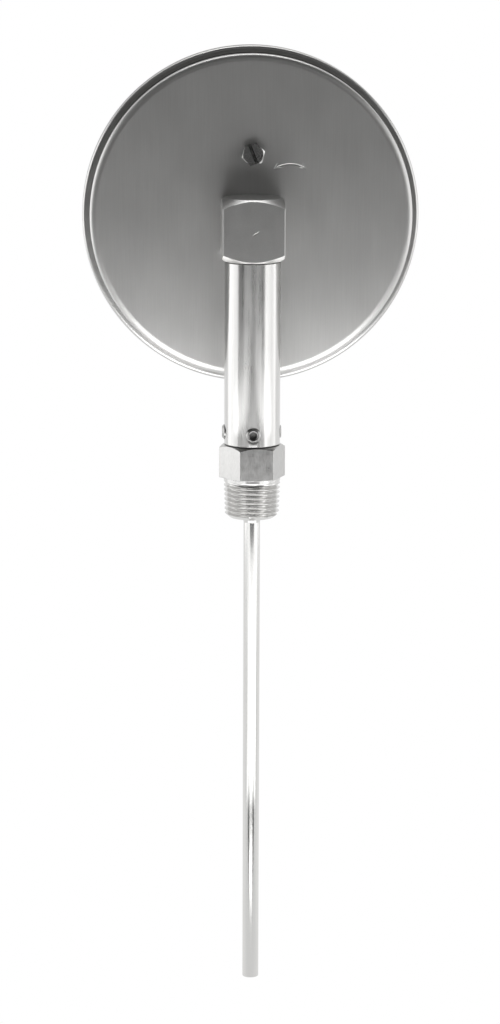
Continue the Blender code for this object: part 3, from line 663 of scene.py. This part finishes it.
def turn_mark():
    """Cutters for a stamped double-headed curved arrow beside the reset screw."""
    centre = (-14.7 * MM, 9.6 * MM)
    radius = 10.4 * MM
    curve = arc(radius, 56, 124, 12, centre)
    lines = [curve]
    for index, toward in ((0, 1), (-1, -1)):
        tip = Vector(curve[index])
        for tilt in (-28, 28):
            heading = math.radians((56 if index == 0 else 124) + 90 * toward + tilt)
            lines.append([tuple(tip), tuple(tip + 2.4 * MM * Vector((math.cos(heading),
                                                                     math.sin(heading))))])
    return joined([stroke(line, 0.8 * MM, CASE_BACK - 0.03 * MM, CASE_BACK + 0.08 * MM)
                   for line in lines])


def case_pan():
    """The drawn pan with its stamped mark and the hole for the reset screw."""
    hole = STUD_RADIUS + 0.3 * MM
    inside = CASE_BACK + SHEET
    wide, deep = 2.8 * MM, 1.7 * MM
    corner = [(CASE_RADIUS - wide + wide * math.sin(a), CASE_BACK + deep - deep * math.cos(a), 0)
              for a in (math.pi / 2 * i / 14 for i in range(15))]
    pan = turned(rounded([
        (hole, CASE_BACK, 0.1 * MM),
        *corner,
        (CASE_RADIUS, CASE_FRONT - BEZEL_SHEET, 0.25 * MM),
        (FLANGE_RADIUS, CASE_FRONT - BEZEL_SHEET, 0.15 * MM),
        (FLANGE_RADIUS, CASE_FRONT, 0.15 * MM),
        (CASE_RADIUS - SHEET, CASE_FRONT, 0.9 * MM),
        (CASE_RADIUS - SHEET, inside, 0.7 * MM),
        (hole, inside, 0.1 * MM),
    ], 8), DIAL_FRAME, 256)
    drill = turned([(0, CASE_BACK - MM), (3.9 * MM, CASE_BACK - MM), (3.9 * MM, inside + MM),
                    (0, inside + MM)], RESET_FRAME, 64, ring=False)
    piece("case_pan", cut(pan, [drill, turn_mark()]), PLATE_STEEL, "head",
          ["case_back"], crease=25)


def bezel():
    """The pressed ring, folded flat over the flange behind and over the glass in front."""
    wall = BEZEL_RADIUS - BEZEL_SHEET
    glass_front = -GLASS_LOW.y + 0.3 * MM
    lip = CASE_RADIUS + 0.12 * MM
    piece("bezel", turned(rounded([
        (BEZEL_OPENING, glass_front, 0.08 * MM),
        (BEZEL_OPENING, glass_front + 0.3 * MM, 0.15 * MM),
        (BEZEL_OPENING + 1.2 * MM, BEZEL_FRONT, 0.8 * MM),
        (BEZEL_RADIUS, BEZEL_FRONT, 1.6 * MM),
        (BEZEL_RADIUS, BEZEL_BACK, 1.35 * MM),
        (lip, BEZEL_BACK, 0.3 * MM),
        (lip, BEZEL_BACK + 0.88 * MM, 0.1 * MM),
        (wall, BEZEL_BACK + 0.88 * MM, 0.25 * MM),
        (wall, glass_front, 0.2 * MM),
    ], 10), DIAL_FRAME, 256), BEZEL_STEEL, "head", ["bezel_ring"])


def window_lens():
    """The flat window with ground edges."""
    back, front = -GLASS_HIGH.y, -GLASS_LOW.y
    points = rounded([
        (0, back, 0),
        (GLASS_HIGH.x, back, 0.2 * MM),
        (GLASS_HIGH.x, front, 0.2 * MM),
        (0, front, 0),
    ], 2, ring=False)
    piece("window_lens", turned(points, DIAL_FRAME, 192, ring=False), GLASS, "head",
          ["window_glass"])


def reset_head():
    """The hexagon head with its turned chamfer, slot and shank."""
    flat = RESET_FLATS / 2
    crown = flat - 0.15 * MM
    seat = CASE_BACK - 0.3 * MM

    def section(reach):
        return rounded([
            (0, RESET_BACK, 0),
            (crown, RESET_BACK, 0.06 * MM),
            (reach, RESET_BACK + (reach - crown) * CHAMFER, 0.08 * MM),
            (reach, seat, 0.1 * MM),
            (2 * MM, seat, 0),
            (2 * MM, 18.9 * MM, 0),
            (0, 18.9 * MM, 0),
        ], 3, ring=False)

    head = skin(barred(bar_outline(6, RESET_FLATS, RESET_TURN, 0.12 * MM, 12, 4), section,
                       RESET_FRAME), ring=False)
    turn = Matrix.Rotation(RESET_SLOT_TILT, 4, "Z")
    slot = prism([
        (RESET_BACK - 0.6 * MM, [(0.72 * MM, 6 * MM), (-0.72 * MM, 6 * MM),
                                 (-0.72 * MM, -6 * MM), (0.72 * MM, -6 * MM)]),
        (RESET_BACK + 2.6 * MM, [(0.1 * MM, 6 * MM), (-0.1 * MM, 6 * MM),
                                 (-0.1 * MM, -6 * MM), (0.1 * MM, -6 * MM)]),
    ], RESET_FRAME @ turn)
    piece("reset_head", cut(head, [slot]), SCREW_STEEL, "reset",
          ["reset_screw"], crease=20)


# Dial side ----------------------------------------------------------------------------


def scale_point(value, radius):
    """Where a value is on the dial, clockwise from the lower left."""
    angle = SCALE_SWEEP * (value / SCALE_TOP - 0.5)
    return radius * math.sin(angle), radius * math.cos(angle)


def dial_print():
    """Graduations every two degrees and a number every fifty, as thin raised ink."""
    low, high = DIAL_FRONT + 0.005 * MM, DIAL_FRONT + 0.03 * MM
    marks = []
    for value in range(0, SCALE_TOP + 1, 2):
        if value % 50 == 0:
            inner, width = 43.5 * MM, 1.1 * MM
        elif value % 10 == 0:
            inner, width = 46.0 * MM, 0.6 * MM
        else:
            inner, width = 48.8 * MM, 0.28 * MM
        start = Vector(scale_point(value, inner))
        end = Vector(scale_point(value, SCALE_BAND[0]))
        along = (end - start).normalized()
        square = Vector((-along.y, along.x)) * width / 2
        corners = [tuple(start + square), tuple(start - square), tuple(end - square),
                   tuple(end + square)]
        marks.append(prism([(low, corners), (high, corners)], DIAL_FRAME))
    span = math.degrees(SCALE_SWEEP) / 2
    band = (arc(SCALE_BAND[1], 90 - span, 90 + span, 180)
            + arc(SCALE_BAND[0], 90 + span, 90 - span, 180))
    marks.append(prism([(low, band), (high, band)], DIAL_FRAME))
    piece("dial_scale", joined(marks), INK, "dial")

    texts = []
    for label, size, (x, y) in (
        [(str(value), 7.6 * MM, scale_point(value, 36.5 * MM))
         for value in range(0, SCALE_TOP + 1, 50)]
        + [("°F", 7.0 * MM, (0, -22 * MM))]
    ):
        curve = bpy.data.curves.new("label", "FONT")
        curve.body = label
        curve.size = size * FONT_PER_HEIGHT
        curve.align_x = "CENTER"
        curve.align_y = "CENTER"
        curve.extrude = (high - low) / 2
        curve.offset = 0.12 * MM
        text = bpy.data.objects.new("label", curve)
        bpy.context.scene.collection.objects.link(text)
        bpy.context.view_layer.update()
        mesh = bpy.data.meshes.new_from_object(
            text.evaluated_get(bpy.context.evaluated_depsgraph_get()))
        mesh.transform(DIAL_FRAME @ Matrix.Translation((x, y, (low + high) / 2)))
        texts.append(welded(mesh))
        bpy.data.objects.remove(text)
        bpy.data.curves.remove(curve)
    piece("dial_numbers", joined(texts), INK, "dial")


def dial_fixings():
    """The hub that holds the dial, its two screws, the spring clip and the pointer's boss."""
    front = DIAL_FRONT
    bore = STUD_SPIGOT + 0.3 * MM
    piece("dial_hub_ring", turned(rounded([
        (bore, front + 0.7 * MM, 0.1 * MM),
        (9 * MM, front + 0.7 * MM, 0.2 * MM),
        (9 * MM, front + 0.3 * MM, 0.1 * MM),
        (7 * MM, front + 0.3 * MM, 0),
        (7 * MM, 17.9 * MM, 0.1 * MM),
        (bore, 17.9 * MM, 0.1 * MM),
    ], 3), DIAL_FRAME, 96), BRASS, "dial", ["dial_hub"])
    for side, name in ((-1, "left"), (1, "right")):
        home = DIAL_FRAME @ Matrix.Translation((side * 12 * MM, 0, 0))
        screw = turned(rounded([
            (0, front + 0.8 * MM, 0),
            (1.7 * MM, front + 0.8 * MM, 0.25 * MM),
            (1.7 * MM, front + 0.3 * MM, 0.05 * MM),
            (1 * MM, front + 0.3 * MM, 0),
            (1 * MM, 18 * MM, 0.1 * MM),
            (0, 18 * MM, 0),
        ], 3, ring=False), home, 48, ring=False)
        slot = [(2 * MM, 0.2 * MM), (-2 * MM, 0.2 * MM), (-2 * MM, -0.2 * MM), (2 * MM, -0.2 * MM)]
        groove = prism([(front + 0.45 * MM, slot), (front + MM, slot)],
                       home @ Matrix.Rotation(math.radians(25 + 50 * side), 4, "Z"))
        piece(f"dial_fixing_{name}", cut(screw, [groove]), SCREW_STEEL, "dial",
              [f"dial_screw_{name}"])
    clip = arc(6.6 * MM, 25, 335, 60) + arc(bore, 335, 25, 60)
    piece("spring_clip", prism([(STUD_FRONT - 0.3 * MM, clip), (STUD_FRONT, clip)], DIAL_FRAME),
          SCREW_STEEL, "head", ["dial_retaining_ring"])
    piece("pointer_boss", turned(rounded([
        (MM, 22.5 * MM, 0.1 * MM),
        (1.6 * MM, 22.5 * MM, 0.15 * MM),
        (1.6 * MM, 21.8 * MM, 0),
        (3 * MM, 21.8 * MM, 0.1 * MM),
        (3 * MM, 21.5 * MM, 0.05 * MM),
        (MM, 21.5 * MM, 0.05 * MM),
    ], 3), DIAL_FRAME, 64), BRASS, "pointer", ["pointer_hub"])


# Studio -------------------------------------------------------------------------------

AREA_LIGHT_SCALE = math.pi  # what Blender divides an area light's energy by
ROOM_DARK = 0.05
FLOOR_DROP = 60 * MM  # how far the stem's tip hangs above the floor
FLOOR_REACH, FLOOR_NEAR = 3, 0.3
BOX_DISTANCE, BOX_WIDTH, BOX_HEIGHT = 1.2, 0.62, 1.3
SIDE_BOXES = (  # name, degrees round from +Y towards +X, radiance
    ("left_near", 77, 1.4), ("left_far", 105, 1.1),
    ("right_near", -64, 1.55), ("right_far", -93, 1.05),
)


def panel(name, location, target, width, height, radiance):
    """A soft box of the given brightness per unit of area, whatever its size."""
    light = bpy.data.lights.new(name, "AREA")
    light.shape = "RECTANGLE"
    light.size = width
    light.size_y = height
    light.energy = radiance * width * height * AREA_LIGHT_SCALE
    made = bpy.data.objects.new(name, light)
    bpy.context.scene.collection.objects.link(made)
    made.location = location
    heading = Vector(target) - Vector(location)
    made.rotation_euler = heading.to_track_quat("-Z", "Y").to_euler()
    made.visible_camera = False


def room():
    """A white sweep behind the thermometer and a darker room in front of it."""
    world = bpy.data.worlds.new("studio")
    bpy.context.scene.world = world
    world.use_nodes = True
    tree = world.node_tree
    tree.nodes.clear()
    place = add(tree, "TexCoord")
    split = add(tree, "SeparateXYZ", Vector=place.outputs["Generated"])
    sweep = add(tree, "MapRange", Value=split.outputs["Y"], From_Min=-0.05, From_Max=-0.20,
                To_Min=ROOM_DARK, To_Max=1.0, interpolation_type="SMOOTHSTEP")
    path = add(tree, "LightPath")
    seen = add(tree, "Math", operation="MAXIMUM")
    tree.links.new(path.outputs["Is Camera Ray"], seen.inputs[0])
    tree.links.new(sweep.outputs["Result"], seen.inputs[1])
    background = add(tree, "Background", Color=(1, 1, 1, 1), Strength=seen.outputs["Value"])
    output = add(tree, "OutputWorld")
    tree.links.new(background.outputs["Background"], output.inputs["Surface"])


def floor():
    """The pale table the thermometer is photographed over, a little dimmer at its near edge."""
    material = bpy.data.materials.new("pale_floor")
    material.use_nodes = True
    tree = material.node_tree
    tree.nodes.clear()
    place = add(tree, "TexCoord")
    split = add(tree, "SeparateXYZ", Vector=place.outputs["Object"])
    fade = add(tree, "MapRange", Value=split.outputs["Y"], From_Min=-0.05, From_Max=0.15,
               To_Min=1.0, To_Max=0.9)
    glow = add(tree, "Emission", Color=(1, 1, 1, 1), Strength=fade.outputs["Result"])
    output = add(tree, "OutputMaterial")
    tree.links.new(glow.outputs["Emission"], output.inputs["Surface"])
    mesh = bpy.data.meshes.new("floor")
    height = STEM_TIP - FLOOR_DROP
    mesh.from_pydata(
        [(-FLOOR_REACH, -FLOOR_REACH, height), (FLOOR_REACH, -FLOOR_REACH, height),
         (FLOOR_REACH, FLOOR_NEAR, height), (-FLOOR_REACH, FLOOR_NEAR, height)],
        [], [(0, 1, 2, 3)])
    mesh.materials.append(material)
    made = bpy.data.objects.new("floor", mesh)
    bpy.context.scene.collection.objects.link(made)


def camera():
    """The photograph's viewing angle, from behind the dial and a little above."""
    azimuth, elevation, roll = (math.radians(a) for a in (177.6, 11.3, 0.19))
    aside, above, away = -0.745 * MM, -13.67 * MM, 1340 * MM
    back = Vector((math.sin(azimuth) * math.cos(elevation),
                   -math.cos(azimuth) * math.cos(elevation), math.sin(elevation)))
    right = Vector((math.cos(azimuth), math.sin(azimuth), 0))
    up = back.cross(right)
    right, up = (right * math.cos(roll) + up * math.sin(roll),
                 up * math.cos(roll) - right * math.sin(roll))
    data = bpy.data.cameras.new("camera")
    data.lens = 123.05
    data.sensor_width = 36
    data.clip_start = 0.05
    data.clip_end = 20
    made = bpy.data.objects.new("camera", data)
    bpy.context.scene.collection.objects.link(made)
    place = right * aside + up * above + back * away
    made.matrix_world = Matrix.Translation(place) @ Matrix((right, up, back)).transposed().to_4x4()
    bpy.context.scene.camera = made


def studio():
    """Boxes at both sides, cards and tables low in front, and strips high in front and behind."""
    room()
    floor()
    for name, degrees, radiance in SIDE_BOXES:
        angle = math.radians(degrees)
        panel(f"box_{name}",
              (BOX_DISTANCE * math.sin(angle), BOX_DISTANCE * math.cos(angle), 0.05), (0, 0, 0),
              BOX_WIDTH, BOX_HEIGHT, radiance)
    panel("low_card", (0, 0.15, -0.114), (0, 0, -0.114), 0.16, 0.112, 1.1)
    for name, side in (("left", 1), ("right", -1)):
        panel(f"low_table_{name}", (side * 0.042, 0.062, 0.016), (side * 0.042, 0.062, 1),
              0.045, 0.10, 2.0)
    panel("front_high", (0, 1.02, 0.64), (0, 0, 0.1), 1.2, 0.34, 0.2)
    for name, side in (("left", 1), ("right", -1)):
        panel(f"low_card_{name}", (side * 0.106, 0.106, -0.095), (0, 0, -0.095), 0.085, 0.15, 1.3)
    panel("table", (0, 0.68, -0.26), (0, 0.68, 1), 1.0, 0.44, 1.2)
    panel("low_light", (0, 0.52, -0.42), (0, 0, 0.1), 0.42, 0.25, 4.0)
    panel("back_light", (0, -0.36, 1.15), (0, 0, 0.1), 0.9, 0.22, 3.5)
    camera()
    bpy.context.scene.view_settings.view_transform = "Standard"


# Assembly -----------------------------------------------------------------------------

fitting_body()
stem_rod()
neck_pipe()
for clamp_side, clamp_degrees in CLAMP_SIDES.items():
    clamp_screw(clamp_side, clamp_degrees)
elbow()
case_pan()
bezel()
window_lens()
reset_head()
dial_print()
dial_fixings()
# The CAD nodes that stay in sight take the looks of the pieces
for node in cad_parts.values():
    if not node.hide_render:
        for holder in node.material_slots:
            holder.material = CARRIED[holder.material.name.split(".")[0]]
studio()
